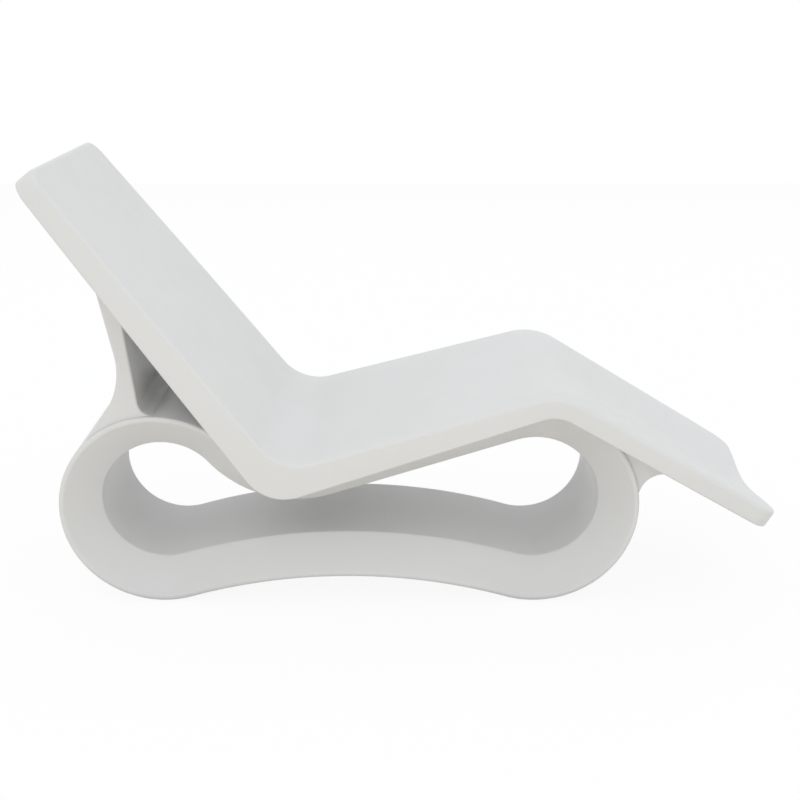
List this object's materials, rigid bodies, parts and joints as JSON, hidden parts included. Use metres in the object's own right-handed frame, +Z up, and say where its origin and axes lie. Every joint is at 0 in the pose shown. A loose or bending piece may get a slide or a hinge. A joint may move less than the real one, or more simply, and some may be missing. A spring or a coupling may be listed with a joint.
{
  "type": "sun lounger",
  "caption": "Moulded chaise lounger: one bent slab for back, seat and legs on a hollow closed loop base with two floor lobes, a back strut with a window, and floor pads.",
  "frame": {"origin": "centre of the outline on the floor, under the middle of the lounger's length", "axes": "+X toward the foot end, +Y to the left of a person lying on it, +Z up"},
  "size_m": [1.6027, 0.6178, 0.9788],
  "materials": {
    "shell_white": "satin moulded polyethylene",
    "plug_white": "moulded nylon",
    "fastener_steel": "stainless",
    "insert_brass": "turned",
    "pad_rubber": "black, matt"
  },
  "bodies": {
    "root": {"back_bolt_1": "fastener_steel", "back_bolt_2": "fastener_steel", "back_insert_1": "insert_brass", "back_insert_2": "insert_brass", "back_sleeve_1": "fastener_steel", "back_sleeve_2": "fastener_steel", "back_strut": "shell_white", "base_loop": "shell_white", "foot_gusset": "shell_white", "glide_1": "pad_rubber", "glide_2": "pad_rubber", "glide_3": "pad_rubber", "glide_4": "pad_rubber", "glide_screw_1": "fastener_steel", "glide_screw_2": "fastener_steel", "glide_screw_3": "fastener_steel", "glide_screw_4": "fastener_steel", "gusset_bolt_1": "fastener_steel", "gusset_bolt_2": "fastener_steel", "gusset_insert_1": "insert_brass", "gusset_insert_2": "insert_brass", "gusset_sleeve_1": "fastener_steel", "gusset_sleeve_2": "fastener_steel", "loop_plug": "plug_white", "seat_bolt_1": "fastener_steel", "seat_bolt_2": "fastener_steel", "seat_bolt_3": "fastener_steel", "seat_bolt_4": "fastener_steel", "seat_insert_1": "insert_brass", "seat_insert_2": "insert_brass", "seat_insert_3": "insert_brass", "seat_insert_4": "insert_brass", "seat_plug": "plug_white", "seat_shell": "shell_white", "seat_sleeve_1": "fastener_steel", "seat_sleeve_2": "fastener_steel", "seat_sleeve_3": "fastener_steel", "seat_sleeve_4": "fastener_steel", "strut_bolt_1": "fastener_steel", "strut_bolt_2": "fastener_steel", "strut_insert_1": "insert_brass", "strut_insert_2": "insert_brass", "strut_sleeve_1": "fastener_steel", "strut_sleeve_2": "fastener_steel"}
  },
  "joints": []
}
